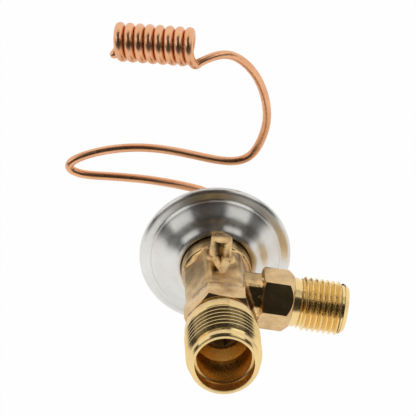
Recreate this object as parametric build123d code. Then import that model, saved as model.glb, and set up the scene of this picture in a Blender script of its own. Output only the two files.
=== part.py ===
from build123d import *
import os
from math import cos, radians, sin, sqrt, tan

# Angle-type thermostatic expansion valve for a vehicle air conditioner, in millimetres.
# The origin is the centre of the outlet mouth and +Z points out of it, so every station on the
# main axis is a depth below the mouth. +X is the axis of the inlet port. The power element
# closes the far end of the forged brass body, and a bent copper capillary joins it to a sensing
# bulb that is wound from the same kind of tube.

# Outlet port: 7/8-14 male thread, flat mouth, pocket for an O-ring and socket for a 5/8 in tube
OUTLET_THREAD_DIA = 22.2
OUTLET_PILOT_DIA = 20.6
OUTLET_PILOT_LENGTH = 2.9
OUTLET_FACE_DIA = 19.2
OUTLET_THREAD_LENGTH = 12.6
OUTLET_COLLAR_DIA = 21.8
OUTLET_COLLAR_LENGTH = 3.8
OUTLET_POCKET_DIA = 17.4
OUTLET_POCKET_DEPTH = 4.0
OUTLET_SOCKET_DIA = 16.1
OUTLET_SOCKET_LENGTH = 11.5
OUTLET_CONE_LENGTH = 2.7
RELIEF_DIA = 18.4
RELIEF_LENGTH = 3.7

# Main hexagon, neck and round head of the forging
MAIN_HEX_FLATS = 19.05
MAIN_HEX_HEIGHT = 8.0
HEX_CHAMFER_DEPTH = 0.8
NECK_FLATS = 18.0
NECK_CORNER_RADIUS = 4.2
NECK_LENGTH = 21.3
HEAD_DIA = 20.5
HEAD_LENGTH = 9.1
HEAD_FLARE_LENGTH = 4.1
HEAD_FLARE_SINK = 0.4
HEAD_SHOULDER_RADIUS = 3.0
O_RING_GROOVE_INSET = 2.4
O_RING_SECTION = 1.0
O_RING_SQUEEZE_ROOM = 0.06

# Inlet port: 5/8-18 male thread with a socket for a 3/8 in tube, square to the main axis
INLET_DROP = 11.6
INLET_NECK_DIA = 12.8
INLET_NECK_REACH = 12.4
INLET_HEX_FLATS = 15.88
INLET_HEX_LENGTH = 9.4
INLET_HEX_TAPER_LENGTH = 1.8
INLET_HEX_TAPER_DROP = 1.5
INLET_COLLAR_DIA = 14.6
INLET_COLLAR_LENGTH = 1.4
INLET_RELIEF_DIA = 13.8
INLET_RELIEF_LENGTH = 0.8
INLET_THREAD_DIA = 15.88
INLET_THREAD_LENGTH = 12.4
INLET_FACE_DIA = 13.2
INLET_NOSE_LENGTH = 1.8
INLET_POCKET_DIA = 11.2
INLET_POCKET_DEPTH = 3.3
INLET_SOCKET_DIA = 9.72
INLET_SOCKET_LENGTH = 10.4
STRAINER_SEAT_DIA = 8.4
STRAINER_SEAT_LENGTH = 2.0
STRAINER_BORE_DIA = 6.8
STRAINER_BORE_LENGTH = 14.5
INLET_PASSAGE_DIA = 4.8

# Blind peg on the side of the neck, with the forged web that runs down from its root
PEG_AZIMUTH = 96.0
PEG_DROP = 5.2
PEG_REACH = 14.4
PEG_ROOT_DIA = 7.2
PEG_END_DIA = 6.4
PEG_PAD_DIA = 8.6
PEG_PAD_REACH = 10.2
PEG_PAD_CHAMFER = 0.6
PEG_WEB_LENGTH = 13.2

# Passages inside the body
OUTLET_CHAMBER_DIA = 11.0
INLET_CHAMBER_DIA = 5.8
INLET_CHAMBER_SUMP = 3.8
SEAT_RISE = 6.6
SEAT_DIA = 6.4
SEAT_LENGTH = 3.5
ORIFICE_DIA = 3.4
ORIFICE_ENTRY_DIA = 4.8

# Strainer in the inlet: a brass ring that holds a fine mesh cup with a brass end disc
STRAINER_MESH_DIA = 5.4
STRAINER_MESH_WALL = 0.25
STRAINER_LENGTH = 11.5
STRAINER_RING_LIP = 0.5
STRAINER_CAP_THICKNESS = 0.6

# Running parts: pad, push rods, carrier and ball move together along the axis
BALL_DIA = 4.76
BALL_REST_GAP = 0.1
ROD_COUNT = 3
ROD_FIRST_AZIMUTH = 60.0
ROD_DIA = 1.6
ROD_CIRCLE_DIA = 8.8
ROD_END_ROOM = 0.5
CARRIER_THICKNESS = 3.0
CARRIER_DROP = 0.9
CARRIER_SPIGOT_DIA = 7.6
CARRIER_SPIGOT_LENGTH = 1.6
CARRIER_NOTCH_DIA = 3.2
PAD_DIA = 25.0
PAD_THICKNESS = 1.4
PAD_RIM_CHAMFER = 0.4
RUNNING_CLEARANCE = 0.05
PRESS_CLEARANCE = 0.02

# Superheat spring and the adjusting nut that is staked in the mouth of the outlet chamber
SPRING_WIRE_DIA = 1.1
SPRING_MEAN_DIA = 9.2
SPRING_TURNS = 4
SPRING_END_ROOM = 0.05
NUT_LENGTH = 4.4
NUT_HEX_FLATS = 7.94
NUT_HEX_ROTATION = -12.0
NUT_CHAMFER = 0.5

# Power element: two pressed stainless shells with a corrugated diaphragm between their rims.
# The dish of the lower shell steps out and down from its lip. Each step is a pair: its share of
# the width from the lip to the rim, and its share of the depth.
ELEMENT_DIA = 45.2
SHELL_THICKNESS = 0.7
SHELL_BEND = 0.5
COLLAR_LENGTH = 4.4
RIM_DROP = 2.0
RIM_HEM_WIDTH = 1.7
HEM_BEND = 0.25
LIP_WIDTH = 1.8
LIP_DROP = 0.26
DISH_STEP_SHARES = (0.172, 0.25)
DISH_RING_SHARES = (0.334, 0.365)
DISH_CONE_SHARES = (0.638, 0.854)
DISH_RIM_SHARES = (0.695, 1.0)
DIAPHRAGM_THICKNESS = 0.2
DIAPHRAGM_WAVES = 2
DIAPHRAGM_WAVE_HEIGHT = 0.5
DIAPHRAGM_PAD_GAP = 0.1
UPPER_SHELL_THICKNESS = 0.8
DOME_RISE = 3.6
DOME_SHOULDER_SHARE = 0.64
DOME_FOOT_SHARE = 0.855
DOME_FLANGE_SHARE = 0.92
HUB_MARGIN = 0.6
HUB_RISE = 1.4

# Ferrule in the middle of the upper shell, and the capillary that is brazed into it
TUBE_DIA = 2.54
BRAZE_CLEARANCE = 0.04
FERRULE_DIA = 4.4
FERRULE_FLANGE_DIA = 7.2
FERRULE_FLANGE_THICKNESS = 0.6
FERRULE_LENGTH = 2.4
TUBE_INSERTION = 2.6
TUBE_BEND_RADIUS = 3.8

# Sensing bulb: close turns of copper tube, sealed at the far end by a pinched nose
BULB_TUBE_DIA = 2.7
BULB_MEAN_DIA = 9.0
BULB_PITCH = 3.0
BULB_TURNS = 7.88
BULB_LOW_END = (-41.3, 61.6)
BULB_AZIMUTH = 12.6
BULB_RISE = 15.0
BULB_START_ANGLE = 15.4
NOSE_LENGTH = 2.6
NOSE_TIP_DIA = 1.2
BULB_KINK = (-17.8, 61.6, 12.2)
BULB_STUB_LENGTH = 2.0

# Route of the capillary on the floor under the valve, then up to the kink at the bulb's end.
# Each row is a corner: x, y and the height of the tube's centre above its floor plane. A bend
# takes up the given share of the shorter run beside it.
BEND_SHARE = 0.45
ROUTE = [
    (0.0, 0.0, 0.0),
    (-2.2, 14.3, 0.0),
    (-20.0, 15.9, 0.0),
    (-42.0, 14.1, 0.0),
    (-47.2, 15.8, 0.0),
    (-45.6, 19.0, 0.0),
    (-37.4, 23.4, 0.0),
    (-27.7, 26.0, 0.0),
    (-20.0, 26.4, 0.0),
    (0.7, 25.5, 0.0),
    (7.0, 28.9, 0.0),
    (8.7, 40.9, 0.4),
    (3.3, 56.5, 3.0),
    (-9.1, 66.4, 8.0),
]


# Stations on the main axis, as depths below the mouth
thread_end = OUTLET_PILOT_LENGTH + OUTLET_THREAD_LENGTH
outlet_collar_end = thread_end + OUTLET_COLLAR_LENGTH
hex_start = outlet_collar_end + RELIEF_LENGTH
hex_end = hex_start + MAIN_HEX_HEIGHT
head_start = hex_end + NECK_LENGTH
head_end = head_start + HEAD_LENGTH
inlet_depth = hex_end + INLET_DROP
peg_depth = inlet_depth + PEG_DROP
socket_end = OUTLET_POCKET_DEPTH + OUTLET_SOCKET_LENGTH
chamber_start = socket_end + OUTLET_CONE_LENGTH
seat_face = inlet_depth - SEAT_RISE
seat_end = seat_face + SEAT_LENGTH
groove_start = head_end - O_RING_GROOVE_INSET
groove_end = groove_start + O_RING_SECTION + O_RING_SQUEEZE_ROOM
rim_start = head_end + RIM_DROP
lip_start = head_end - COLLAR_LENGTH

# Stations on the inlet axis, as distances from the main axis
inlet_hex_end = INLET_NECK_REACH + INLET_HEX_LENGTH
inlet_collar_end = inlet_hex_end + INLET_COLLAR_LENGTH
inlet_thread_start = inlet_collar_end + INLET_RELIEF_LENGTH
inlet_thread_end = inlet_thread_start + INLET_THREAD_LENGTH
inlet_mouth = inlet_thread_end + INLET_NOSE_LENGTH
inlet_socket_start = inlet_mouth - INLET_POCKET_DEPTH - INLET_SOCKET_LENGTH
strainer_seat_start = inlet_socket_start - STRAINER_SEAT_LENGTH
strainer_bore_start = strainer_seat_start - STRAINER_BORE_LENGTH
mesh_end = inlet_socket_start - STRAINER_RING_LIP
mesh_start = mesh_end - STRAINER_LENGTH

# Stations of the running parts and of the power element's sheets
ball_drop = sqrt((BALL_DIA / 2) ** 2 - (ORIFICE_DIA / 2) ** 2)
ball_depth = seat_face - ball_drop - BALL_REST_GAP
carrier_top = ball_depth - CARRIER_DROP
carrier_foot = carrier_top - CARRIER_THICKNESS
nut_top = chamber_start + NUT_LENGTH
diaphragm_depth = rim_start + SHELL_THICKNESS
pad_top = diaphragm_depth - DIAPHRAGM_PAD_GAP
pad_underside = pad_top - PAD_THICKNESS
flange_depth = diaphragm_depth + DIAPHRAGM_THICKNESS + UPPER_SHELL_THICKNESS
dome_depth = flange_depth + DOME_RISE
hub_depth = dome_depth + HUB_RISE
hub_radius = FERRULE_FLANGE_DIA / 2 + HUB_MARGIN
ferrule_foot = hub_depth - UPPER_SHELL_THICKNESS - FERRULE_FLANGE_THICKNESS
ferrule_end = hub_depth + FERRULE_LENGTH
tube_start = ferrule_end - TUBE_INSERTION
tube_plane = ferrule_end + TUBE_BEND_RADIUS
collar_radius = HEAD_DIA / 2 + RUNNING_CLEARANCE
sheet_edge = ELEMENT_DIA / 2 - SHELL_THICKNESS - RIM_HEM_WIDTH / 2
dome_foot = DOME_FOOT_SHARE * sheet_edge
wave_pitch = (dome_foot - PAD_DIA / 2) / (DIAPHRAGM_WAVES + 0.5)

# Axis of the bulb, from its sealed end, which rests on the same floor as the capillary
bulb_along = Vector(
    cos(radians(BULB_RISE)) * cos(radians(BULB_AZIMUTH)),
    cos(radians(BULB_RISE)) * sin(radians(BULB_AZIMUTH)),
    sin(radians(BULB_RISE)),
)
bulb_radius = (BULB_MEAN_DIA + BULB_TUBE_DIA) / 2
bulb_depth = tube_plane + TUBE_DIA / 2 - bulb_radius * cos(radians(BULB_RISE))
bulb_start = Vector(BULB_LOW_END[0], BULB_LOW_END[1], -bulb_depth)
bulb_plane = Plane(origin=bulb_start, x_dir=bulb_along.cross(Vector(0, 0, 1)), z_dir=bulb_along)


def turned(profile):
    """Solid of revolution about Z, from the (radius, height) corners of its half section."""
    corners = [(radius, 0, height) for radius, height in profile]
    return revolve(make_face(Polyline(*corners, close=True)), Axis.Z)


def turned_down(profile):
    """Solid of revolution on the main axis, from (radius, depth below the mouth) corners."""
    return turned([(radius, -depth) for radius, depth in profile])


def on_inlet(shape):
    """Turn a shape made along +Z so that it lies along the inlet axis."""
    return Location((0, 0, -inlet_depth), (0, 90, 0)) * shape


def hexagon(flats, height, rotation=0.0):
    """Hexagonal prism standing on Z = 0, with a corner towards +X turned by the rotation."""
    outline = RegularPolygon(radius=flats / 2, side_count=6, major_radius=False)
    return Rot(0, 0, rotation) * extrude(outline, amount=height)


def chamfered_hexagon(flats, start, end, start_chamfer, end_chamfer):
    """Hexagon along +Z from start to end, its corners turned off by a cone at each end.

    Each chamfer is a pair: how far the cone runs along the axis and how far it drops."""
    corner = flats / sqrt(3)
    envelope = turned(
        [
            (0, start),
            (corner - start_chamfer[1], start),
            (corner, start + start_chamfer[0]),
            (corner, end - end_chamfer[0]),
            (corner - end_chamfer[1], end),
            (0, end),
        ]
    )
    return (Pos(0, 0, start) * hexagon(flats, end - start)) & envelope


def parallel(path, distance):
    """Points of the line that runs beside an open (radius, depth) path at the given distance."""
    normals = []
    for (r0, d0), (r1, d1) in zip(path, path[1:]):
        length = sqrt((r1 - r0) ** 2 + (d1 - d0) ** 2)
        normals.append((-(d1 - d0) / length, (r1 - r0) / length))
    beside = []
    for index, (radius, depth) in enumerate(path):
        before = normals[max(index - 1, 0)]
        after = normals[min(index, len(normals) - 1)]
        share = distance / (1 + before[0] * after[0] + before[1] * after[1])
        beside.append((radius + share * (before[0] + after[0]), depth + share * (before[1] + after[1])))
    return beside


def turns_left(before, corner, after):
    """Whether an open (radius, depth) path turns towards its left side at a corner."""
    run = (corner[0] - before[0], corner[1] - before[1])
    next_run = (after[0] - corner[0], after[1] - corner[1])
    return run[0] * next_run[1] - run[1] * next_run[0] > 0


def pressed_sheet(path, thickness, bends):
    """Pressed sheet of revolution. The path is its (radius, depth) face and the metal lies on
    the left of it for a positive thickness; bends holds the inner radius of each corner."""
    face_radii = []
    back_radii = []
    for bend, corner in zip(bends, zip(path, path[1:], path[2:])):
        back_is_inside = turns_left(*corner) == (thickness > 0)
        face_radii.append(bend + abs(thickness) if back_is_inside else bend)
        back_radii.append(bend if back_is_inside else bend + abs(thickness))
    back_path = parallel(path, thickness)
    face_line = FilletPolyline(*[(r, 0, -d) for r, d in path], radius=face_radii)
    back_line = FilletPolyline(*[(r, 0, -d) for r, d in back_path], radius=back_radii)
    ends = [Line(face_line @ 0, back_line @ 0), Line(face_line @ 1, back_line @ 1)]
    return revolve(make_face([face_line, back_line, *ends]), Axis.Z)


def outer_forging():
    """Outside of the brass body: outlet port, hexagon, neck, head, inlet port and peg."""
    thread_rise = (OUTLET_THREAD_DIA - OUTLET_PILOT_DIA) / 2
    outlet = turned_down(
        [
            (0, 0),
            (OUTLET_FACE_DIA / 2, 0),
            (OUTLET_PILOT_DIA / 2, (OUTLET_PILOT_DIA - OUTLET_FACE_DIA) / 2),
            (OUTLET_PILOT_DIA / 2, OUTLET_PILOT_LENGTH),
            (OUTLET_THREAD_DIA / 2, OUTLET_PILOT_LENGTH + thread_rise),
            (OUTLET_THREAD_DIA / 2, thread_end),
            (OUTLET_COLLAR_DIA / 2, thread_end + (OUTLET_THREAD_DIA - OUTLET_COLLAR_DIA) / 2),
            (OUTLET_COLLAR_DIA / 2, outlet_collar_end),
            (RELIEF_DIA / 2, outlet_collar_end + (OUTLET_COLLAR_DIA - RELIEF_DIA) / 4),
            (RELIEF_DIA / 2, hex_end),
            (0, hex_end),
        ]
    )
    hex_chamfer = (HEX_CHAMFER_DEPTH, HEX_CHAMFER_DEPTH * sqrt(3))
    main_hex = chamfered_hexagon(MAIN_HEX_FLATS, -hex_end, -hex_start, hex_chamfer, hex_chamfer)
    neck_section = RegularPolygon(radius=NECK_FLATS / 2, side_count=6, major_radius=False)
    neck_section = fillet(neck_section.vertices(), NECK_CORNER_RADIUS)
    neck = Pos(0, 0, -head_start) * extrude(neck_section, amount=NECK_LENGTH + MAIN_HEX_HEIGHT / 2)
    flare_start = head_start - HEAD_FLARE_LENGTH
    head = turned_down(
        [
            (0, flare_start),
            (NECK_FLATS / 2 - HEAD_FLARE_SINK, flare_start),
            (HEAD_DIA / 2, head_start),
            (HEAD_DIA / 2, head_end),
            (0, head_end),
        ]
    )
    shoulder = head.edges().filter_by(GeomType.CIRCLE).sort_by(Axis.Z)[-2]
    head = fillet(shoulder, HEAD_SHOULDER_RADIUS)
    return outlet + main_hex + neck + head + inlet_port() + peg_with_web()


def inlet_port():
    """Inlet neck, hexagon and threaded end, along +X."""
    overlap = INLET_HEX_LENGTH / 2
    neck = Cylinder(
        INLET_NECK_DIA / 2, INLET_NECK_REACH + overlap, align=(Align.CENTER, Align.CENTER, Align.MIN)
    )
    inner_chamfer = (HEX_CHAMFER_DEPTH / 2, HEX_CHAMFER_DEPTH)
    outer_chamfer = (INLET_HEX_TAPER_LENGTH, INLET_HEX_TAPER_DROP)
    hexagonal = chamfered_hexagon(
        INLET_HEX_FLATS, INLET_NECK_REACH, inlet_hex_end, inner_chamfer, outer_chamfer
    )
    threaded = turned(
        [
            (0, inlet_hex_end - overlap),
            (INLET_COLLAR_DIA / 2, inlet_hex_end - overlap),
            (INLET_COLLAR_DIA / 2, inlet_collar_end),
            (INLET_RELIEF_DIA / 2, inlet_collar_end),
            (INLET_RELIEF_DIA / 2, inlet_thread_start),
            (INLET_THREAD_DIA / 2, inlet_thread_start + (INLET_THREAD_DIA - INLET_RELIEF_DIA) / 4),
            (INLET_THREAD_DIA / 2, inlet_thread_end),
            (INLET_FACE_DIA / 2, inlet_mouth),
            (0, inlet_mouth),
        ]
    )
    return on_inlet(neck + hexagonal + threaded)


def peg_with_web():
    """Tapered blind peg with a drop-shaped forged pad whose point runs towards the hexagon."""
    peg = Cone(
        PEG_ROOT_DIA / 2, PEG_END_DIA / 2, PEG_REACH, align=(Align.CENTER, Align.CENTER, Align.MIN)
    )
    pad_radius = PEG_PAD_DIA / 2
    tangent_sine = pad_radius / PEG_WEB_LENGTH
    tangent_x = pad_radius * tangent_sine
    tangent_y = pad_radius * sqrt(1 - tangent_sine**2)
    drop = Circle(pad_radius) + make_face(
        Polyline(
            (tangent_x, -tangent_y), (PEG_WEB_LENGTH, 0), (tangent_x, tangent_y), (0, 0), close=True
        )
    )
    pad = extrude(drop, amount=PEG_PAD_REACH)
    pad = chamfer(pad.faces().sort_by(Axis.Z)[-1].edges(), PEG_PAD_CHAMFER)
    lying = Location((0, 0, -peg_depth), (0, 0, PEG_AZIMUTH)) * Location((0, 0, 0), (0, 90, 0))
    return lying * (peg + Rot(0, 0, 180) * pad)


def body_passages():
    """Everything that is bored out of the forging."""
    seat_radius = SEAT_DIA / 2 + PRESS_CLEARANCE
    chamber_end = inlet_depth + INLET_CHAMBER_SUMP
    outlet_bore = turned_down(
        [
            (0, -OUTLET_POCKET_DEPTH),
            (OUTLET_POCKET_DIA / 2, -OUTLET_POCKET_DEPTH),
            (OUTLET_POCKET_DIA / 2, OUTLET_POCKET_DEPTH),
            (OUTLET_SOCKET_DIA / 2, OUTLET_POCKET_DEPTH),
            (OUTLET_SOCKET_DIA / 2, socket_end),
            (OUTLET_CHAMBER_DIA / 2, chamber_start),
            (OUTLET_CHAMBER_DIA / 2, seat_face),
            (seat_radius, seat_face),
            (seat_radius, seat_end),
            (INLET_CHAMBER_DIA / 2, seat_end),
            (INLET_CHAMBER_DIA / 2, chamber_end),
            (0, chamber_end + INLET_CHAMBER_DIA / 4),
        ]
    )
    inlet_bore = turned(
        [
            (0, 0),
            (INLET_PASSAGE_DIA / 2, 0),
            (INLET_PASSAGE_DIA / 2, strainer_bore_start),
            (STRAINER_BORE_DIA / 2, strainer_bore_start),
            (STRAINER_BORE_DIA / 2, strainer_seat_start),
            (STRAINER_SEAT_DIA / 2, strainer_seat_start),
            (STRAINER_SEAT_DIA / 2, inlet_socket_start),
            (INLET_SOCKET_DIA / 2, inlet_socket_start),
            (INLET_SOCKET_DIA / 2, inlet_mouth - INLET_POCKET_DEPTH),
            (INLET_POCKET_DIA / 2, inlet_mouth - INLET_POCKET_DEPTH),
            (INLET_POCKET_DIA / 2, inlet_mouth + INLET_POCKET_DEPTH),
            (0, inlet_mouth + INLET_POCKET_DEPTH),
        ]
    )
    groove_root = HEAD_DIA / 2 - O_RING_SECTION
    groove = turned_down(
        [
            (groove_root, groove_start),
            (HEAD_DIA, groove_start),
            (HEAD_DIA, groove_end),
            (groove_root, groove_end),
        ]
    )
    return outlet_bore + on_inlet(inlet_bore) + groove + push_rod_holes()


def rod_places():
    """Centres of the push rods on their circle, one azimuth for each rod."""
    azimuths = [radians(ROD_FIRST_AZIMUTH + 360 / ROD_COUNT * index) for index in range(ROD_COUNT)]
    return [(ROD_CIRCLE_DIA / 2 * cos(a), ROD_CIRCLE_DIA / 2 * sin(a)) for a in azimuths]


def push_rod_holes():
    """Holes from the outlet chamber through to the power element, with room to slide."""
    radius = ROD_DIA / 2 + RUNNING_CLEARANCE
    length = head_end - seat_face + 2 * ROD_DIA
    hole = Cylinder(radius, length, align=(Align.CENTER, Align.CENTER, Align.MIN))
    holes = [Pos(x, y, -head_end - ROD_DIA) * hole for x, y in rod_places()]
    return Part() + holes


def valve_body():
    """Forged and bored brass body, the piece that carries all the others."""
    return outer_forging() - body_passages()


def valve_seat():
    """Hardened insert with the metering orifice, pressed in from the outlet chamber."""
    entry_depth = (ORIFICE_ENTRY_DIA - ORIFICE_DIA) / 2
    return turned_down(
        [
            (ORIFICE_DIA / 2, seat_face),
            (SEAT_DIA / 2, seat_face),
            (SEAT_DIA / 2, seat_end),
            (ORIFICE_ENTRY_DIA / 2, seat_end),
            (ORIFICE_DIA / 2, seat_end - entry_depth),
        ]
    )


def valve_ball():
    """Ball that closes the orifice from the outlet side."""
    return Pos(0, 0, -ball_depth) * Sphere(BALL_DIA / 2)


def ball_carrier():
    """Guide that carries the ball, slides in the outlet chamber and centres the spring."""
    guide_radius = OUTLET_CHAMBER_DIA / 2 - RUNNING_CLEARANCE
    spigot_foot = carrier_foot - CARRIER_SPIGOT_LENGTH
    blank = turned_down(
        [
            (0, carrier_top),
            (guide_radius, carrier_top),
            (guide_radius, carrier_foot),
            (CARRIER_SPIGOT_DIA / 2, carrier_foot),
            (CARRIER_SPIGOT_DIA / 2, spigot_foot),
            (0, spigot_foot),
        ]
    )
    cup = Pos(0, 0, -ball_depth) * Sphere(BALL_DIA / 2 + PRESS_CLEARANCE)
    notch = Cylinder(CARRIER_NOTCH_DIA / 2, 3 * CARRIER_THICKNESS)
    step = 360 / ROD_COUNT
    azimuths = [radians(ROD_FIRST_AZIMUTH + step * (index + 0.5)) for index in range(ROD_COUNT)]
    notches = [
        Pos(guide_radius * cos(a), guide_radius * sin(a), -carrier_top) * notch for a in azimuths
    ]
    return blank - cup - notches


def push_rod(place):
    """One push rod, from the carrier up into its socket in the pad."""
    top = pad_underside + ROD_END_ROOM
    rod = Cylinder(ROD_DIA / 2, top - carrier_top, align=(Align.CENTER, Align.CENTER, Align.MAX))
    return Pos(place[0], place[1], -carrier_top) * rod


def diaphragm_pad():
    """Buffer plate under the diaphragm, with a blind socket for each push rod."""
    plate = turned_down(
        [
            (0, pad_underside),
            (PAD_DIA / 2 - PAD_RIM_CHAMFER, pad_underside),
            (PAD_DIA / 2, pad_underside + PAD_RIM_CHAMFER),
            (PAD_DIA / 2, pad_top - PAD_RIM_CHAMFER),
            (PAD_DIA / 2 - PAD_RIM_CHAMFER, pad_top),
            (0, pad_top),
        ]
    )
    socket = Cylinder(
        ROD_DIA / 2 + PRESS_CLEARANCE, ROD_END_ROOM, align=(Align.CENTER, Align.CENTER, Align.MAX)
    )
    sockets = [Pos(x, y, -pad_underside) * socket for x, y in rod_places()]
    return plate - sockets


def superheat_spring():
    """Compression spring between the adjusting nut and the shoulder of the carrier."""
    wire = SPRING_WIRE_DIA / 2
    height = carrier_foot - nut_top - SPRING_WIRE_DIA - 2 * SPRING_END_ROOM
    path = Helix(pitch=height / SPRING_TURNS, height=height, radius=SPRING_MEAN_DIA / 2)
    section = Plane(origin=path @ 0, z_dir=path % 0) * Circle(wire)
    coil = sweep(section, path=path, is_frenet=True)
    return Pos(0, 0, -(carrier_foot - wire - SPRING_END_ROOM)) * coil


def adjusting_nut():
    """Threaded ring with a hexagon socket right through it, which is also the flow passage."""
    radius = OUTLET_CHAMBER_DIA / 2 - RUNNING_CLEARANCE
    ring = turned_down(
        [
            (0, chamber_start),
            (radius - NUT_CHAMFER, chamber_start),
            (radius, chamber_start + NUT_CHAMFER),
            (radius, nut_top),
            (0, nut_top),
        ]
    )
    socket = hexagon(NUT_HEX_FLATS, NUT_LENGTH + 2, NUT_HEX_ROTATION)
    return ring - Pos(0, 0, -nut_top - 1) * socket


def head_o_ring():
    """O-ring between the head of the body and the collar of the lower shell."""
    centre_radius = HEAD_DIA / 2 - O_RING_SECTION / 2
    centre_depth = (groove_start + groove_end) / 2
    return Pos(0, 0, -centre_depth) * Torus(centre_radius, O_RING_SECTION / 2 - PRESS_CLEARANCE)


def lower_housing():
    """Lower shell: collar round the head, stepped dish, and the hem that closes the rim."""
    lip_radius = collar_radius + LIP_WIDTH
    lip_depth = lip_start + LIP_DROP
    width = ELEMENT_DIA / 2 - lip_radius
    depth = rim_start - lip_depth
    steps = [DISH_STEP_SHARES, DISH_RING_SHARES, DISH_CONE_SHARES, DISH_RIM_SHARES]
    hem_depth = flange_depth + SHELL_THICKNESS
    path = [
        (collar_radius, head_end),
        (collar_radius, lip_start),
        (lip_radius, lip_depth),
        *[(lip_radius + across * width, lip_depth + down * depth) for across, down in steps],
        (ELEMENT_DIA / 2, rim_start),
        (ELEMENT_DIA / 2, hem_depth),
        (ELEMENT_DIA / 2 - RIM_HEM_WIDTH, hem_depth),
    ]
    bends = [SHELL_BEND] * (len(path) - 4) + [HEM_BEND, HEM_BEND]
    return pressed_sheet(path, SHELL_THICKNESS, bends)


def diaphragm():
    """Thin corrugated disc, clamped between the flanges of the two shells."""
    wave_start = PAD_DIA / 2 + wave_pitch / 2
    crest_depth = diaphragm_depth + DIAPHRAGM_WAVE_HEIGHT
    path = [(0, diaphragm_depth), (wave_start, diaphragm_depth)]
    for wave in range(DIAPHRAGM_WAVES):
        crest = wave_start + wave_pitch * (wave + 0.5)
        path.append((crest, crest_depth))
        path.append((crest + wave_pitch / 2, diaphragm_depth))
    path.append((sheet_edge, diaphragm_depth))
    return pressed_sheet(path, DIAPHRAGM_THICKNESS, [SHELL_BEND] * (len(path) - 2))


def upper_housing():
    """Upper shell: flange, dome and a raised hub that is holed for the ferrule."""
    path = [
        (FERRULE_DIA / 2 + BRAZE_CLEARANCE, hub_depth),
        (hub_radius, hub_depth),
        (hub_radius + HUB_RISE, dome_depth),
        (DOME_SHOULDER_SHARE * sheet_edge, dome_depth - HUB_RISE / 4),
        (dome_foot, flange_depth + DOME_RISE / 3),
        (DOME_FLANGE_SHARE * sheet_edge, flange_depth),
        (sheet_edge, flange_depth),
    ]
    return pressed_sheet(path, -UPPER_SHELL_THICKNESS, [SHELL_BEND] * (len(path) - 2))


def capillary_ferrule():
    """Flanged bush, put in from inside the hub and brazed, with a socket for the capillary."""
    bore = TUBE_DIA / 2 + BRAZE_CLEARANCE
    passage = TUBE_DIA / 4
    shoulder = hub_depth - UPPER_SHELL_THICKNESS
    return turned_down(
        [
            (passage, ferrule_foot),
            (FERRULE_FLANGE_DIA / 2, ferrule_foot),
            (FERRULE_FLANGE_DIA / 2, shoulder),
            (FERRULE_DIA / 2, shoulder),
            (FERRULE_DIA / 2, ferrule_end),
            (bore, ferrule_end),
            (bore, tube_start),
            (passage, tube_start),
        ]
    )


def strainer_ring():
    """Brass ring pressed in at the foot of the inlet socket, with the mesh soldered inside."""
    mesh_radius = STRAINER_MESH_DIA / 2 + PRESS_CLEARANCE
    inner = STRAINER_MESH_DIA / 2 - STRAINER_MESH_WALL
    outer = STRAINER_SEAT_DIA / 2 - PRESS_CLEARANCE
    profile = [
        (mesh_radius, strainer_seat_start),
        (outer, strainer_seat_start),
        (outer, inlet_socket_start),
        (inner, inlet_socket_start),
        (inner, mesh_end),
        (mesh_radius, mesh_end),
    ]
    return on_inlet(turned(profile))


def strainer_mesh():
    """Cup wall of fine gauze, from the ring to the end disc."""
    outer = STRAINER_MESH_DIA / 2
    inner = outer - STRAINER_MESH_WALL
    profile = [(inner, mesh_start), (outer, mesh_start), (outer, mesh_end), (inner, mesh_end)]
    return on_inlet(turned(profile))


def strainer_cap():
    """Brass disc that plugs the far end of the mesh."""
    outer = STRAINER_MESH_DIA / 2
    plug = outer - STRAINER_MESH_WALL - PRESS_CLEARANCE
    under = mesh_start - STRAINER_CAP_THICKNESS
    inside = mesh_start + STRAINER_CAP_THICKNESS
    profile = [
        (0, under),
        (outer, under),
        (outer, mesh_start),
        (plug, mesh_start),
        (plug, inside),
        (0, inside),
    ]
    return on_inlet(turned(profile))


def bulb_path():
    """Centre line of the turns, from the sealed nose to the capillary's end."""
    helix = Helix(pitch=BULB_PITCH, height=BULB_PITCH * BULB_TURNS, radius=BULB_MEAN_DIA / 2)
    return bulb_plane.location * (Rot(0, 0, BULB_START_ANGLE) * helix)


def on_route(place):
    """Point in the part's frame of an (x, y, height above the floor plane) place."""
    return Vector(place[0], place[1], place[2] - tube_plane)


def stub_direction():
    """Direction from the kink at the bulb towards the last corner of the capillary."""
    return (on_route(ROUTE[-1]) - on_route(BULB_KINK)).normalized()


def stub_end():
    """Where the capillary meets the stub that leads off the kink."""
    return on_route(BULB_KINK) + stub_direction() * BULB_STUB_LENGTH


def capillary_points():
    """Corners of the capillary's runs, from inside the ferrule to the stub of the bulb."""
    return [Vector(0, 0, -tube_start)] + [on_route(place) for place in ROUTE] + [stub_end()]


def bend_radii(points):
    """Largest tangent arc at each corner that leaves both of its runs some straight length."""
    radii = []
    for before, corner, after in zip(points, points[1:], points[2:]):
        shorter = min((corner - before).length, (after - corner).length)
        half_turn = radians((corner - before).get_angle(after - corner)) / 2
        radii.append(BEND_SHARE * shorter / tan(half_turn))
    radii[0] = TUBE_BEND_RADIUS
    return radii


def capillary_tube():
    """Bent copper tube: straight runs joined by tangent arcs."""
    points = capillary_points()
    path = FilletPolyline(*points, radius=bend_radii(points))
    section = Plane(origin=path @ 0, z_dir=path % 0) * Circle(TUBE_DIA / 2)
    return sweep(section, path=path)


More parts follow.
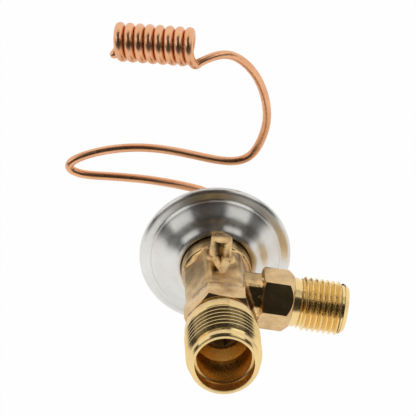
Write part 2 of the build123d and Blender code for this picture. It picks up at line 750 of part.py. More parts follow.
def sensing_bulb():
    """Coil of copper tube with a pinched nose at one end and a kinked stub at the other."""
    radius = BULB_TUBE_DIA / 2
    path = bulb_path()
    coil = sweep(Plane(origin=path @ 0, z_dir=path % 0) * Circle(radius), path=path, is_frenet=True)
    nose_direction = (path % 0) * -1 - bulb_along
    nose = Plane(origin=path @ 0, z_dir=nose_direction) * Cone(
        radius, NOSE_TIP_DIA / 2, NOSE_LENGTH, align=(Align.CENTER, Align.CENTER, Align.MIN)
    )
    kink = on_route(BULB_KINK)
    reach = kink - path @ 1
    link = Plane(origin=path @ 1, z_dir=reach) * Cylinder(
        radius, reach.length, align=(Align.CENTER, Align.CENTER, Align.MIN)
    )
    stub = Plane(origin=kink, z_dir=stub_direction()) * Cylinder(
        TUBE_DIA / 2, BULB_STUB_LENGTH - BRAZE_CLEARANCE, align=(Align.CENTER, Align.CENTER, Align.MIN)
    )
    knuckles = [Pos(*place) * Sphere(radius) for place in (path @ 0, path @ 1, kink)]
    return coil + nose + link + stub + knuckles


nodes = {
    "valve_body": valve_body(),
    "valve_seat": valve_seat(),
    "valve_ball": valve_ball(),
    "ball_carrier": ball_carrier(),
    "superheat_spring": superheat_spring(),
    "adjusting_nut": adjusting_nut(),
    "diaphragm_pad": diaphragm_pad(),
    "head_o_ring": head_o_ring(),
    "lower_housing": lower_housing(),
    "diaphragm": diaphragm(),
    "upper_housing": upper_housing(),
    "capillary_ferrule": capillary_ferrule(),
    "capillary_tube": capillary_tube(),
    "sensing_bulb": sensing_bulb(),
    "strainer_ring": strainer_ring(),
    "strainer_mesh": strainer_mesh(),
    "strainer_cap": strainer_cap(),
}
for number, place in enumerate(rod_places(), start=1):
    nodes[f"push_rod_{number}"] = push_rod(place)

os.makedirs("parts", exist_ok=True)
for name, shape in nodes.items():
    export_step(shape, f"parts/{name}.step")
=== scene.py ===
import bmesh
import bpy
from math import atan2, cos, pi, radians, sin, sqrt
from mathutils import Matrix, Vector


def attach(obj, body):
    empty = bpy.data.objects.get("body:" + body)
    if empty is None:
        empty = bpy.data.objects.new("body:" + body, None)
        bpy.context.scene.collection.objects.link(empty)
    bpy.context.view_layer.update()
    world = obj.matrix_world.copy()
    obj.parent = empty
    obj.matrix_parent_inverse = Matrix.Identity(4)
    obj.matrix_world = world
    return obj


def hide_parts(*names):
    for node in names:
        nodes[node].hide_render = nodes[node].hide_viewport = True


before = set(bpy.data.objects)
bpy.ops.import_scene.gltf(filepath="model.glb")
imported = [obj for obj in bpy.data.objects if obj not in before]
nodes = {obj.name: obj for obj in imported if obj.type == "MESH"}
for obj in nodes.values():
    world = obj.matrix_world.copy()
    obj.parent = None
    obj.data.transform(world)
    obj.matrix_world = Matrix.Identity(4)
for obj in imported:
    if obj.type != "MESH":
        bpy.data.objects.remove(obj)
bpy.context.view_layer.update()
scene = bpy.context.scene
scene.view_settings.view_transform = "Standard"
mm = 0.001


# The camera stands far off above the mouth of the outlet port, rolled so that the valve seems
# to lean on its capsule with the sensing bulb behind it.
camera_data = bpy.data.cameras.new("camera")
camera_data.lens = 432.7
camera_data.sensor_width = 36
camera_data.clip_end = 10
camera = bpy.data.objects.new("camera", camera_data)
scene.collection.objects.link(camera)
right = Vector((0.98125, 0.18809, 0.04213))
up = Vector((-0.14488, 0.86386, -0.48244))
back = Vector((-0.12713, 0.46729, 0.87492))
camera.matrix_world = Matrix.Translation(Vector((-193.94, 709.52, 1235.31)) * mm) @ Matrix(
    (right, up, back)
).transposed().to_4x4()
scene.camera = camera


# The studio: a plain pale floor under the capillary and a white room whose far half, behind and
# above the camera, is dark. Two square softboxes hang in that half, left and right of the camera.
floor_mesh = bpy.data.meshes.new("floor")
floor_shape = bmesh.new()
bmesh.ops.create_grid(floor_shape, x_segments=1, y_segments=1, size=3)
bmesh.ops.translate(floor_shape, verts=floor_shape.verts, vec=(0, 0, -0.0782))
floor_shape.to_mesh(floor_mesh)
floor = bpy.data.objects.new("floor", floor_mesh)
scene.collection.objects.link(floor)
floor_paint = bpy.data.materials.new("floor_paint")
floor_paint.use_nodes = True
tree = floor_paint.node_tree
tree.nodes.clear()
matt = tree.nodes.new("ShaderNodeBsdfDiffuse")
matt.inputs["Color"].default_value = (0.85, 0.85, 0.85, 1)
glow = tree.nodes.new("ShaderNodeEmission")
glow.inputs["Color"].default_value = (1, 1, 1, 1)
rays = tree.nodes.new("ShaderNodeLightPath")
seen = tree.nodes.new("ShaderNodeMath")
seen.operation = "MAXIMUM"
seen_or_clear = tree.nodes.new("ShaderNodeMath")
seen_or_clear.operation = "MAXIMUM"
share = tree.nodes.new("ShaderNodeMath")
share.operation = "MULTIPLY"
share.inputs[1].default_value = 0.985
blend = tree.nodes.new("ShaderNodeMixShader")
out = tree.nodes.new("ShaderNodeOutputMaterial")
tree.links.new(rays.outputs["Is Camera Ray"], seen.inputs[0])
tree.links.new(rays.outputs["Is Glossy Ray"], seen.inputs[1])
tree.links.new(seen.outputs[0], seen_or_clear.inputs[0])
tree.links.new(rays.outputs["Is Transmission Ray"], seen_or_clear.inputs[1])
tree.links.new(seen_or_clear.outputs[0], share.inputs[0])
tree.links.new(share.outputs[0], blend.inputs[0])
tree.links.new(matt.outputs[0], blend.inputs[1])
tree.links.new(glow.outputs[0], blend.inputs[2])
tree.links.new(blend.outputs[0], out.inputs["Surface"])
floor_mesh.materials.append(floor_paint)

room = bpy.data.worlds.new("room")
scene.world = room
room.use_nodes = True
tree = room.node_tree
tree.nodes.clear()
where = tree.nodes.new("ShaderNodeTexCoord")
toward_dark = tree.nodes.new("ShaderNodeVectorMath")
toward_dark.operation = "DOT_PRODUCT"
toward_dark.inputs[1].default_value = (-0.25, 0.85, 0.45)
fade = tree.nodes.new("ShaderNodeMapRange")
fade.interpolation_type = "SMOOTHSTEP"
fade.inputs["From Min"].default_value = 0.12
fade.inputs["From Max"].default_value = 0.26
fade.inputs["To Min"].default_value = 1.0
fade.inputs["To Max"].default_value = 0.03
rays = tree.nodes.new("ShaderNodeLightPath")
level = tree.nodes.new("ShaderNodeMix")
level.data_type = "FLOAT"
level.inputs["B"].default_value = 1.0
sky = tree.nodes.new("ShaderNodeBackground")
sky.inputs["Color"].default_value = (1, 1, 1, 1)
out = tree.nodes.new("ShaderNodeOutputWorld")
tree.links.new(where.outputs["Generated"], toward_dark.inputs[0])
tree.links.new(toward_dark.outputs["Value"], fade.inputs["Value"])
tree.links.new(rays.outputs["Is Camera Ray"], level.inputs["Factor"])
tree.links.new(fade.outputs["Result"], level.inputs["A"])
tree.links.new(level.outputs["Result"], sky.inputs["Strength"])
tree.links.new(sky.outputs[0], out.inputs["Surface"])


def softbox(name, toward, distance, size, radiance):
    """Square area lamp that hangs in a direction from the valve and faces it."""
    data = bpy.data.lights.new(name, "AREA")
    data.size = size
    data.energy = pi * size * size * radiance
    lamp = bpy.data.objects.new(name, data)
    scene.collection.objects.link(lamp)
    away = Vector(toward).normalized()
    lamp.location = Vector((0, 0.02, -0.05)) + away * distance
    lamp.rotation_mode = "QUATERNION"
    lamp.rotation_quaternion = (-away).to_track_quat("-Z", "Y")


softbox("left_softbox", toward=(-0.86, 0.40, 0.30), distance=1.4, size=0.85, radiance=1.2)
softbox("right_softbox", toward=(0.43, 0.85, 0.30), distance=1.4, size=0.85, radiance=1.2)


# The lower shell of the capsule is one pressing of semi-bright stainless sheet: a collar that
# hugs the head of the body, a lip, a polished ring, a cone and a flat flange, with its edge
# rolled round the rim of the upper shell.
def joined(shape, name):
    """Finish a bmesh as an object whose place is in its mesh."""
    mesh = bpy.data.meshes.new(name)
    shape.to_mesh(mesh)
    shape.free()
    piece = bpy.data.objects.new(name, mesh)
    scene.collection.objects.link(piece)
    return piece


def smoothed(shape, crease):
    """Shade a bmesh smooth, except across edges that turn more than the crease in degrees."""
    for face in shape.faces:
        face.smooth = True
    for edge in shape.edges:
        edge.smooth = len(edge.link_faces) == 2 and edge.calc_face_angle(0) < radians(crease)


def turned(profile, steps, edge_width, edge_segments=2, crease=32):
    """Bmesh of a closed (radius, depth) loop turned round Z, its sharp edges rounded."""
    shape = bmesh.new()
    ring = [shape.verts.new((r * mm, 0, -d * mm)) for r, d in profile]
    edges = [shape.edges.new((a, b)) for a, b in zip(ring, ring[1:] + ring[:1])]
    bmesh.ops.spin(
        shape, geom=ring + edges, cent=(0, 0, 0), axis=(0, 0, 1), angle=2 * pi, steps=steps,
        use_merge=True,
    )
    bmesh.ops.recalc_face_normals(shape, faces=shape.faces)
    if edge_width:
        sharp = [e for e in shape.edges if e.calc_face_angle(0) > radians(crease)]
        bmesh.ops.bevel(
            shape, geom=sharp, offset=edge_width * mm, segments=edge_segments, profile=0.5,
            affect="EDGES", material=-1, clamp_overlap=True,
        )
        bmesh.ops.recalc_face_normals(shape, faces=shape.faces)
    smoothed(shape, crease)
    return shape


def sheet_loop(face, thickness):
    """Closed loop of a pressed sheet: its outer face line and the same line set in."""
    normals = []
    for (r0, d0), (r1, d1) in zip(face, face[1:]):
        run = sqrt((r1 - r0) ** 2 + (d1 - d0) ** 2)
        normals.append(Vector((-(d1 - d0) / run, (r1 - r0) / run)))
    inner = []
    for index, point in enumerate(face):
        before = normals[max(index - 1, 0)]
        after = normals[min(index, len(normals) - 1)]
        lean = (before + after) / (1 + before.dot(after)) * thickness
        inner.append((point[0] + lean.x, point[1] + lean.y))
    return face + inner[::-1]


dish_face = [
    (10.35, 61.2), (10.35, 57.5), (10.6, 57.1), (11.1, 57.0), (11.9, 57.1), (12.3, 57.35),
    (13.0, 58.05), (13.7, 58.65), (14.2, 58.85), (15.0, 59.2), (15.7, 59.55), (16.5, 60.25),
    (17.8, 61.55), (18.5, 62.2), (18.9, 62.45), (19.1, 62.6), (19.3, 63.1), (19.6, 63.35),
    (20.1, 63.4), (21.2, 63.4), (21.8, 63.5), (22.3, 63.8), (22.55, 64.25), (22.6, 64.75),
    (22.5, 65.25), (22.2, 65.6), (21.7, 65.8), (20.9, 65.8),
]
lower_shell = joined(turned(sheet_loop(dish_face, 0.68), 160, 0), "lower_shell")
lower_shell.modifiers.new("round", "SUBSURF")
lower_shell.modifiers["round"].levels = 1
lower_shell.modifiers["round"].render_levels = 1
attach(lower_shell, "valve")
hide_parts("lower_housing")


def shader_group(name, inputs, outputs):
    """Empty node group with float or colour inputs and outputs: lists of (name, type, value)."""
    group = bpy.data.node_groups.new(name, "ShaderNodeTree")
    for label, kind, value in inputs:
        socket = group.interface.new_socket(label, in_out="INPUT", socket_type=kind)
        socket.default_value = value
    for label, kind in outputs:
        group.interface.new_socket(label, in_out="OUTPUT", socket_type=kind)
    return group, group.nodes.new("NodeGroupInput"), group.nodes.new("NodeGroupOutput")


# Wear and handling on any of the metals: broad clouds of dulled colour, and a fine mottle that
# changes the roughness from place to place.
patina, given, result = shader_group(
    "patina",
    [
        ("Clean", "NodeSocketColor", (0.8, 0.8, 0.8, 1)),
        ("Dull", "NodeSocketColor", (0.5, 0.5, 0.5, 1)),
        ("Cloud Scale", "NodeSocketFloat", 120.0),
        ("Amount", "NodeSocketFloat", 0.5),
        ("Rough Low", "NodeSocketFloat", 0.1),
        ("Rough High", "NodeSocketFloat", 0.3),
    ],
    [("Color", "NodeSocketColor"), ("Roughness", "NodeSocketFloat")],
)
place = patina.nodes.new("ShaderNodeTexCoord")
cloud = patina.nodes.new("ShaderNodeTexNoise")
cloud.inputs["Detail"].default_value = 4
cloud.inputs["Roughness"].default_value = 0.6
mottle = patina.nodes.new("ShaderNodeTexNoise")
mottle.inputs["Scale"].default_value = 900
mottle.inputs["Detail"].default_value = 3
spread = patina.nodes.new("ShaderNodeMapRange")
spread.inputs["From Min"].default_value = 0.38
spread.inputs["From Max"].default_value = 0.68
amount = patina.nodes.new("ShaderNodeMath")
amount.operation = "MULTIPLY"
tint = patina.nodes.new("ShaderNodeMix")
tint.data_type = "RGBA"
rough = patina.nodes.new("ShaderNodeMapRange")
rough.inputs["From Min"].default_value = 0.3
rough.inputs["From Max"].default_value = 0.7
patina.links.new(place.outputs["Object"], cloud.inputs["Vector"])
patina.links.new(given.outputs["Cloud Scale"], cloud.inputs["Scale"])
patina.links.new(place.outputs["Object"], mottle.inputs["Vector"])
patina.links.new(cloud.outputs["Fac"], spread.inputs["Value"])
patina.links.new(spread.outputs["Result"], amount.inputs[0])
patina.links.new(given.outputs["Amount"], amount.inputs[1])
patina.links.new(amount.outputs[0], tint.inputs["Factor"])
patina.links.new(given.outputs["Clean"], tint.inputs["A"])
patina.links.new(given.outputs["Dull"], tint.inputs["B"])
patina.links.new(mottle.outputs["Fac"], rough.inputs["Value"])
patina.links.new(given.outputs["Rough Low"], rough.inputs["To Min"])
patina.links.new(given.outputs["Rough High"], rough.inputs["To Max"])
patina.links.new(tint.outputs["Result"], result.inputs["Color"])
patina.links.new(rough.outputs["Result"], result.inputs["Roughness"])


def metal(name, clean, dull, low, high, cloud_scale=120.0, amount=0.5):
    """Metal whose colour and roughness come from the patina group; returns its main nodes."""
    material = bpy.data.materials.new(name)
    material.use_nodes = True
    nodes_of = material.node_tree
    surface = nodes_of.nodes["Principled BSDF"]
    surface.inputs["Metallic"].default_value = 1.0
    wear = nodes_of.nodes.new("ShaderNodeGroup")
    wear.node_tree = patina
    wear.inputs["Clean"].default_value = (*clean, 1)
    wear.inputs["Dull"].default_value = (*dull, 1)
    wear.inputs["Cloud Scale"].default_value = cloud_scale
    wear.inputs["Amount"].default_value = amount
    wear.inputs["Rough Low"].default_value = low
    wear.inputs["Rough High"].default_value = high
    nodes_of.links.new(wear.outputs["Color"], surface.inputs["Base Color"])
    nodes_of.links.new(wear.outputs["Roughness"], surface.inputs["Roughness"])
    return material, nodes_of, surface


def bump(nodes_of, surface, height, strength, distance):
    """Feed a height through a Bump node into the surface's normal."""
    relief = nodes_of.nodes.new("ShaderNodeBump")
    relief.inputs["Strength"].default_value = strength
    relief.inputs["Distance"].default_value = distance
    nodes_of.links.new(height, relief.inputs["Height"])
    nodes_of.links.new(relief.outputs["Normal"], surface.inputs["Normal"])


def brushed(nodes_of, surface, amount, around=(0, 0, 1), through=(0, 0, 0)):
    """Spread the shine across tool marks that run round an axis through a point in metres."""
    place_of = nodes_of.nodes.new("ShaderNodeTexCoord")
    shifted = nodes_of.nodes.new("ShaderNodeVectorMath")
    shifted.operation = "SUBTRACT"
    shifted.inputs[1].default_value = through
    round_axis = nodes_of.nodes.new("ShaderNodeVectorMath")
    round_axis.operation = "CROSS_PRODUCT"
    round_axis.inputs[0].default_value = around
    across = nodes_of.nodes.new("ShaderNodeVectorMath")
    across.operation = "CROSS_PRODUCT"
    nodes_of.links.new(place_of.outputs["Object"], shifted.inputs[0])
    nodes_of.links.new(shifted.outputs[0], round_axis.inputs[1])
    nodes_of.links.new(place_of.outputs["Normal"], across.inputs[0])
    nodes_of.links.new(round_axis.outputs[0], across.inputs[1])
    nodes_of.links.new(across.outputs[0], surface.inputs["Tangent"])
    surface.inputs["Anisotropic"].default_value = amount


stainless, steel_tree, steel_surface = metal(
    "pressed_stainless", clean=(0.80, 0.79, 0.75), dull=(0.70, 0.67, 0.62), low=0.28, high=0.36,
    cloud_scale=90.0, amount=0.6,
)
brushed(steel_tree, steel_surface, 0.9)
lower_shell.data.materials.append(stainless)


# The upper shell is the other pressing, the closed side of the capsule: a shallow dome whose
# raised hub is holed for the ferrule. Its flange lies inside the rolled edge of the lower shell.
dome_face = [
    (2.25, 70.1), (3.6, 70.1), (4.3, 70.0), (4.9, 69.6), (5.5, 69.0), (6.2, 68.72), (8.5, 68.65),
    (12.0, 68.42), (13.4, 68.3), (14.2, 68.05), (15.6, 67.4), (17.0, 66.75), (18.0, 66.3),
    (18.6, 65.8), (19.1, 65.3), (19.7, 65.1), (20.9, 65.1),
]
upper_shell = joined(turned(sheet_loop(dome_face, -0.78), 160, 0), "upper_shell")
upper_shell.modifiers.new("round", "SUBSURF")
upper_shell.modifiers["round"].levels = 1
upper_shell.modifiers["round"].render_levels = 1
upper_shell.data.materials.append(stainless)
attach(upper_shell, "valve")
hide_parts("upper_housing")


# The body is one hot brass forging, with its bores, hexagons and inlet port turned and milled
# bright. Its outlet port and the rough skin of its neck are pieces of their own below, so the
# solid is cut off at the port, and the rough neck is drawn in under the skin.
INLET_ROOT = 7.05
INLET_AXIS = -42.6 * mm
INLET_SKIN = 7.8
INLET_THREAD_START = 24
INLET_NOSE_START = 30
INLET_NOSE = 37.6
INLET_HEX_START = 12.3
INLET_HEX_END = 21.9
HEX_START = -22.9
HEX_END = -31.0
HEX_APOTHEM = 9.525
HEX_SIDE_LIMIT = 11.2
HEX_BACK_STEP = 0.3
RIM_START = 9.52
RIM_END = 9.63
NECK_TOP = -31.2
NECK_LOW = -60
NECK_SIDE_LIMIT = 12
NECK_CORE = 8.4
PORT_END = 22.3

body_shape = bmesh.new()
body_shape.from_mesh(nodes["valve_body"].data)
bmesh.ops.remove_doubles(body_shape, verts=body_shape.verts, dist=0.002 * mm)
for vertex in body_shape.verts:
    x, y, z = vertex.co
    from_main = sqrt(x * x + y * y)
    from_inlet = sqrt(y * y + (z - INLET_AXIS) ** 2)
    if from_inlet > INLET_SKIN * mm and x > INLET_THREAD_START * mm:
        vertex.co.y *= INLET_ROOT * mm / from_inlet
        vertex.co.z = INLET_AXIS + (z - INLET_AXIS) * INLET_ROOT * mm / from_inlet
        if x > INLET_NOSE_START * mm:
            vertex.co.x = INLET_NOSE * mm
    on_neck = NECK_LOW * mm < z < NECK_TOP * mm and x < NECK_SIDE_LIMIT * mm and from_inlet > 6 * mm
    if on_neck and from_main > NECK_CORE * mm:
        vertex.co.x *= NECK_CORE * mm / from_main
        vertex.co.y *= NECK_CORE * mm / from_main
# On the back of the main hexagon, the rim is let out until only a small step is left, and the
# edge of the neck goes in with the rest of it.
for vertex in body_shape.verts:
    x, y, z = vertex.co
    from_main = sqrt(x * x + y * y)
    on_back = abs(z - HEX_END * mm) < 0.05 * mm and x < HEX_SIDE_LIMIT * mm
    if not on_back or not 9 * mm < from_main < RIM_END * mm:
        continue
    reach = NECK_CORE * mm
    if from_main > RIM_START * mm:
        azimuth = atan2(y, x)
        face_azimuth = pi / 3 * round((azimuth - pi / 6) / (pi / 3)) + pi / 6
        outline = HEX_APOTHEM * mm / cos(azimuth - face_azimuth)
        reach = max(outline - HEX_BACK_STEP * mm, from_main)
    vertex.co.x, vertex.co.y = Vector((x, y)) * reach / from_main
bmesh.ops.bisect_plane(
    body_shape, geom=body_shape.verts[:] + body_shape.edges[:] + body_shape.faces[:],
    plane_co=(0, 0, -PORT_END * mm), plane_no=(0, 0, 1), clear_outer=True,
)
bmesh.ops.dissolve_limit(
    body_shape, angle_limit=radians(0.4), verts=body_shape.verts, edges=body_shape.edges
)


def on_hexagon(edge):
    """Whether an edge is a sharp corner of one of the two hexagons."""
    middle = (edge.verts[0].co + edge.verts[1].co) / 2
    main = sqrt(middle.x**2 + middle.y**2)
    inlet = sqrt(middle.y**2 + (middle.z - INLET_AXIS) ** 2)
    if edge.calc_face_angle(0) < radians(22):
        return False
    on_main = (HEX_END - 0.2) * mm < middle.z < HEX_START * mm and main > 9.4 * mm
    on_inlet = INLET_HEX_START * mm < middle.x < INLET_HEX_END * mm and inlet > 7.5 * mm
    return on_main and middle.x < HEX_SIDE_LIMIT * mm or on_inlet and middle.z < -33 * mm


milled = [edge for edge in body_shape.edges if on_hexagon(edge)]
bmesh.ops.bevel(
    body_shape, geom=milled, offset=0.25 * mm, segments=3, profile=0.5, affect="EDGES",
    material=-1, clamp_overlap=True,
)
bmesh.ops.triangulate(body_shape, faces=body_shape.faces)
smoothed(body_shape, 30)
body = joined(body_shape, "body_machined")
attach(body, "valve")
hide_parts("valve_body")

brass, brass_tree, brass_surface = metal(
    "turned_brass", clean=(0.88, 0.66, 0.31), dull=(0.74, 0.50, 0.20), low=0.22, high=0.27,
    cloud_scale=70.0, amount=0.5,
)
brushed(brass_tree, brass_surface, 0.85)
cross_brass, cross_tree, cross_surface = metal(
    "cross_turned_brass", clean=(0.90, 0.68, 0.32), dull=(0.76, 0.52, 0.20), low=0.22, high=0.27,
    cloud_scale=70.0, amount=0.5,
)
brushed(cross_tree, cross_surface, 0.85, (1, 0, 0), (0, 0, INLET_AXIS))
milled_brass, *_ = metal(
    "milled_brass", clean=(0.74, 0.51, 0.25), dull=(0.46, 0.29, 0.13), low=0.16, high=0.24,
    cloud_scale=220.0, amount=0.7,
)
# Bored brass is the turned finish of the bores: rougher, with no tool streaks. Its colour is also a
# deeper orange, a painted shade for the light that bounces inside the bores.
bored_brass_painted_shade, *_ = metal(
    "bored_brass_painted_shade", clean=(0.86, 0.60, 0.27), dull=(0.76, 0.48, 0.18), low=0.26, high=0.32,
    cloud_scale=70.0, amount=0.5,
)
for finish in (brass, cross_brass, milled_brass, bored_brass_painted_shade):
    body.data.materials.append(finish)
# Faces nearer the main axis than 8.9 mm, inside the bores, take the bored brass and its painted
# shade.
for face in body.data.polygons:
    x, y, z = face.center / mm
    main = sqrt(x * x + y * y)
    if x > INLET_HEX_END:
        face.material_index = 1
    elif x > 11.3 or HEX_END - 0.2 < z < HEX_START and main > 9.3:
        face.material_index = 2
    elif main < 8.9:
        face.material_index = 3


# The outlet port is turned on the same forging: a mouth with a pocket and a socket for the line,
# the root of the thread, a collar, and a relief in front of the hexagon. Its edges are broken.
OUTLET_ROOT = 10.05
PORT_BORE_LIMIT = 8.75
port_face = [
    (9.6, 0), (10.3, 0.7), (10.3, 2.5), (OUTLET_ROOT, 2.75), (OUTLET_ROOT, 15.2), (10.9, 15.9),
    (10.9, 19.3), (9.2, 20.1), (9.2, PORT_END), (5.5, PORT_END), (5.5, 18.2), (8.05, 15.5),
    (8.05, 4.0), (8.7, 4.0), (8.7, 0),
]
outlet_port = joined(turned(port_face, 160, 0.13), "outlet_port")
for finish in (brass, bored_brass_painted_shade):
    outlet_port.data.materials.append(finish)
# Faces inside the port's bore take the bored brass, whose deeper orange is painted shade.
for face in outlet_port.data.polygons:
    x, y, z = face.center / mm
    if x * x + y * y < PORT_BORE_LIMIT**2:
        face.material_index = 1
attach(outlet_port, "valve")


# The rough part of the forging, between the two hexagons and the capsule: the six-sided neck
# flares into a round head, and the inlet neck, the blind peg, its pad and its drop grow out of
# it with soft roots. It keeps the skin of the die, with fine pits.
def cylinder_between(shape, start, end, r_start, r_end, sides=48):
    """Add a closed cone between two points in millimetres to a bmesh."""
    a, b = Vector(start) * mm, Vector(end) * mm
    turn = (b - a).to_track_quat("Z", "Y").to_matrix().to_4x4()
    bmesh.ops.create_cone(
        shape, cap_ends=True, segments=sides, radius1=r_start * mm, radius2=r_end * mm,
        depth=(b - a).length, matrix=Matrix.Translation((a + b) / 2) @ turn,
    )


def prism_between(shape, start, end, apothem, corner, turn):
    """Add a hexagonal prism with rounded long edges between two points in millimetres."""
    a, b = Vector(start) * mm, Vector(end) * mm
    lie = (b - a).to_track_quat("Z", "Y").to_matrix().to_4x4() @ Matrix.Rotation(turn, 4, "Z")
    added = bmesh.ops.create_cone(
        shape, cap_ends=True, segments=6, radius1=apothem / cos(pi / 6) * mm,
        radius2=apothem / cos(pi / 6) * mm, depth=(b - a).length,
        matrix=Matrix.Translation((a + b) / 2) @ lie,
    )
    long_edges = {
        edge for vertex in added["verts"] for edge in vertex.link_edges
        if (edge.verts[1].co - edge.verts[0].co).normalized().dot((b - a).normalized()) ** 2 > 0.9
    }
    bmesh.ops.bevel(
        shape, geom=list(long_edges), offset=corner * mm, segments=5, profile=0.5,
        affect="EDGES", material=-1,
    )


neck_shape = bmesh.new()
prism_between(neck_shape, (0, 0, -30.6), (0, 0, -53.0), 9.05, 1.3, pi / 6)
prism_between(neck_shape, (0, 0, -42.6), (12.6, 0, -42.6), 6.35, 1.2, 0)
HEAD_RADIUS = 10.4
FLARE_WIDTH = 1.6
FLARE_STEPS = 10
for step in range(FLARE_STEPS):
    lean, next_lean = (radians(90 * count / FLARE_STEPS) for count in (step, step + 1))
    top, low = (-47.0 - 5.0 * sin(angle) for angle in (lean, next_lean))
    cylinder_between(
        neck_shape, (0, 0, top), (0, 0, low - 0.02),
        HEAD_RADIUS - FLARE_WIDTH * cos(lean), HEAD_RADIUS - FLARE_WIDTH * cos(next_lean), 96,
    )
cylinder_between(neck_shape, (0, 0, -51.8), (0, 0, -56.9), HEAD_RADIUS, HEAD_RADIUS, 96)
peg_foot = Vector((0, 0, -47.8))
peg_way = Vector((cos(radians(96)), sin(radians(96)), 0))
cylinder_between(neck_shape, peg_foot + peg_way * 6.5, peg_foot + peg_way * 9.7, 5.4, 4.3)
drop_head = peg_foot + peg_way * 8.4
drop_tip = peg_foot + peg_way * 8.5 + Vector((0, 0, 9.4))
cylinder_between(neck_shape, drop_head, drop_tip, 3.3, 0.9)
for place, radius in ((drop_head, 3.3), (drop_tip, 0.9)):
    bmesh.ops.create_uvsphere(
        neck_shape, u_segments=32, v_segments=16, radius=radius * mm,
        matrix=Matrix.Translation(place * mm),
    )
neck = joined(neck_shape, "neck_forging")
fuse = neck.modifiers.new("fuse", "REMESH")
fuse.mode = "VOXEL"
fuse.voxel_size = 0.22 * mm
fuse.use_smooth_shade = True
soften = neck.modifiers.new("soften", "SMOOTH")
soften.factor = 0.5
soften.iterations = 10
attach(neck, "valve")

peg_shape = bmesh.new()
bmesh.ops.create_cone(
    peg_shape, cap_ends=True, segments=64, radius1=3.5 * mm, radius2=3.15 * mm, depth=7.2 * mm,
    matrix=Matrix.Translation((peg_foot + peg_way * 11.5) * mm)
    @ peg_way.to_track_quat("Z", "Y").to_matrix().to_4x4(),
)
rim = [edge for edge in peg_shape.edges if all(v.co.dot(peg_way) > 14 * mm for v in edge.verts)]
bmesh.ops.bevel(
    peg_shape, geom=rim, offset=0.18 * mm, segments=2, profile=0.5, affect="EDGES", material=-1
)
smoothed(peg_shape, 30)
peg = joined(peg_shape, "peg")
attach(peg, "valve")

forged, forged_tree, forged_surface = metal(
    "forged_brass", clean=(0.76, 0.52, 0.24), dull=(0.34, 0.20, 0.08), low=0.10, high=0.22,
    cloud_scale=260.0, amount=0.85,
)
spots = forged_tree.nodes.new("ShaderNodeTexCoord")
pits = forged_tree.nodes.new("ShaderNodeTexNoise")
pits.inputs["Scale"].default_value = 1100
pits.inputs["Detail"].default_value = 5
pits.inputs["Roughness"].default_value = 0.7
forged_tree.links.new(spots.outputs["Object"], pits.inputs["Vector"])
bump(forged_tree, forged_surface, pits.outputs["Fac"], 0.5, 0.00012)
neck.data.materials.append(forged)
peg.data.materials.append(forged)


# Both threads are cut on a lathe: one ridge winds round the root, and its crest is turned down
# by the lead-in cone at the mouth and dies into the collar at the other end.
def screw_ridge(pitch, major, root, start, end, lead_start, lead_radius, crest_at):
    """Helical ridge round Z between two depths in millimetres, its crest kept under the cone."""
    steps = 96
    turns = int((end - start) / pitch) + 1
    shape = bmesh.new()
    section = [
        (root - 0.1, 0.0), (root, 0.02), (major, 0.42), (major, 0.58), (root, 0.98),
        (root - 0.1, 1.0),
    ]
    line = [shape.verts.new((r * mm, 0, -(start + share * pitch) * mm)) for r, share in section]
    edges = [shape.edges.new((a, b)) for a, b in zip(line, line[1:])]
    bmesh.ops.spin(
        shape, geom=line + edges, cent=(0, 0, 0), axis=(0, 0, -1), dvec=(0, 0, -pitch / steps * mm),
        angle=2 * pi * turns, steps=steps * turns, use_merge=False,
    )
    bmesh.ops.rotate(
        shape, verts=shape.verts, cent=(0, 0, 0), matrix=Matrix.Rotation(crest_at, 3, "Z")
    )
    for vertex in shape.verts:
        depth = -vertex.co.z / mm
        r = sqrt(vertex.co.x**2 + vertex.co.y**2) / mm
        allowed = min(lead_radius + (depth - lead_start), major)
        if depth > end:
            allowed = min(allowed, root - 0.15)
        if r > allowed:
            vertex.co.x *= max(allowed, root - 0.2) / r
            vertex.co.y *= max(allowed, root - 0.2) / r
    bmesh.ops.recalc_face_normals(shape, faces=shape.faces)
    smoothed(shape, 32)
    return shape


outlet_ridge = screw_ridge(
    pitch=1.95, major=11.1, root=OUTLET_ROOT, start=2.2, end=15.4, lead_start=3.0,
    lead_radius=10.0, crest_at=radians(105),
)
outlet_thread = joined(outlet_ridge, "outlet_thread")
outlet_thread.data.materials.append(brass)
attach(outlet_thread, "valve")

inlet_ridge = screw_ridge(
    pitch=1.65, major=7.94, root=INLET_ROOT, start=0.6, end=13.6, lead_start=0.9,
    lead_radius=6.9, crest_at=radians(60),
)
lie = Matrix.Translation((38.2 * mm, 0, INLET_AXIS)) @ Matrix.Rotation(pi / 2, 4, "Y")
bmesh.ops.transform(inlet_ridge, matrix=lie, verts=inlet_ridge.verts)
inlet_thread = joined(inlet_ridge, "inlet_thread")
inlet_thread.data.materials.append(cross_brass)
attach(inlet_thread, "valve")


# The running parts and fittings inside the body are small turned, ground or pressed pieces, and
# each has the finish of its own metal.
hard_steel, hard_tree, hard_surface = metal(
    "ground_steel", clean=(0.62, 0.62, 0.62), dull=(0.45, 0.45, 0.46), low=0.12, high=0.28,
    cloud_scale=300.0, amount=0.5,
)
brushed(hard_tree, hard_surface, 0.5)
gauze, gauze_tree, gauze_surface = metal(
    "woven_gauze", clean=(0.72, 0.56, 0.33), dull=(0.40, 0.29, 0.16), low=0.3, high=0.5,
    cloud_scale=400.0, amount=0.6,
)
gauze_place = gauze_tree.nodes.new("ShaderNodeTexCoord")
weave = gauze_tree.nodes.new("ShaderNodeTexVoronoi")
weave.inputs["Scale"].default_value = 3500
gauze_tree.links.new(gauze_place.outputs["Object"], weave.inputs["Vector"])
bump(gauze_tree, gauze_surface, weave.outputs["Distance"], 0.8, 0.0001)
rubber = bpy.data.materials.new("seal_rubber")
rubber.use_nodes = True
rubber_surface = rubber.node_tree.nodes["Principled BSDF"]
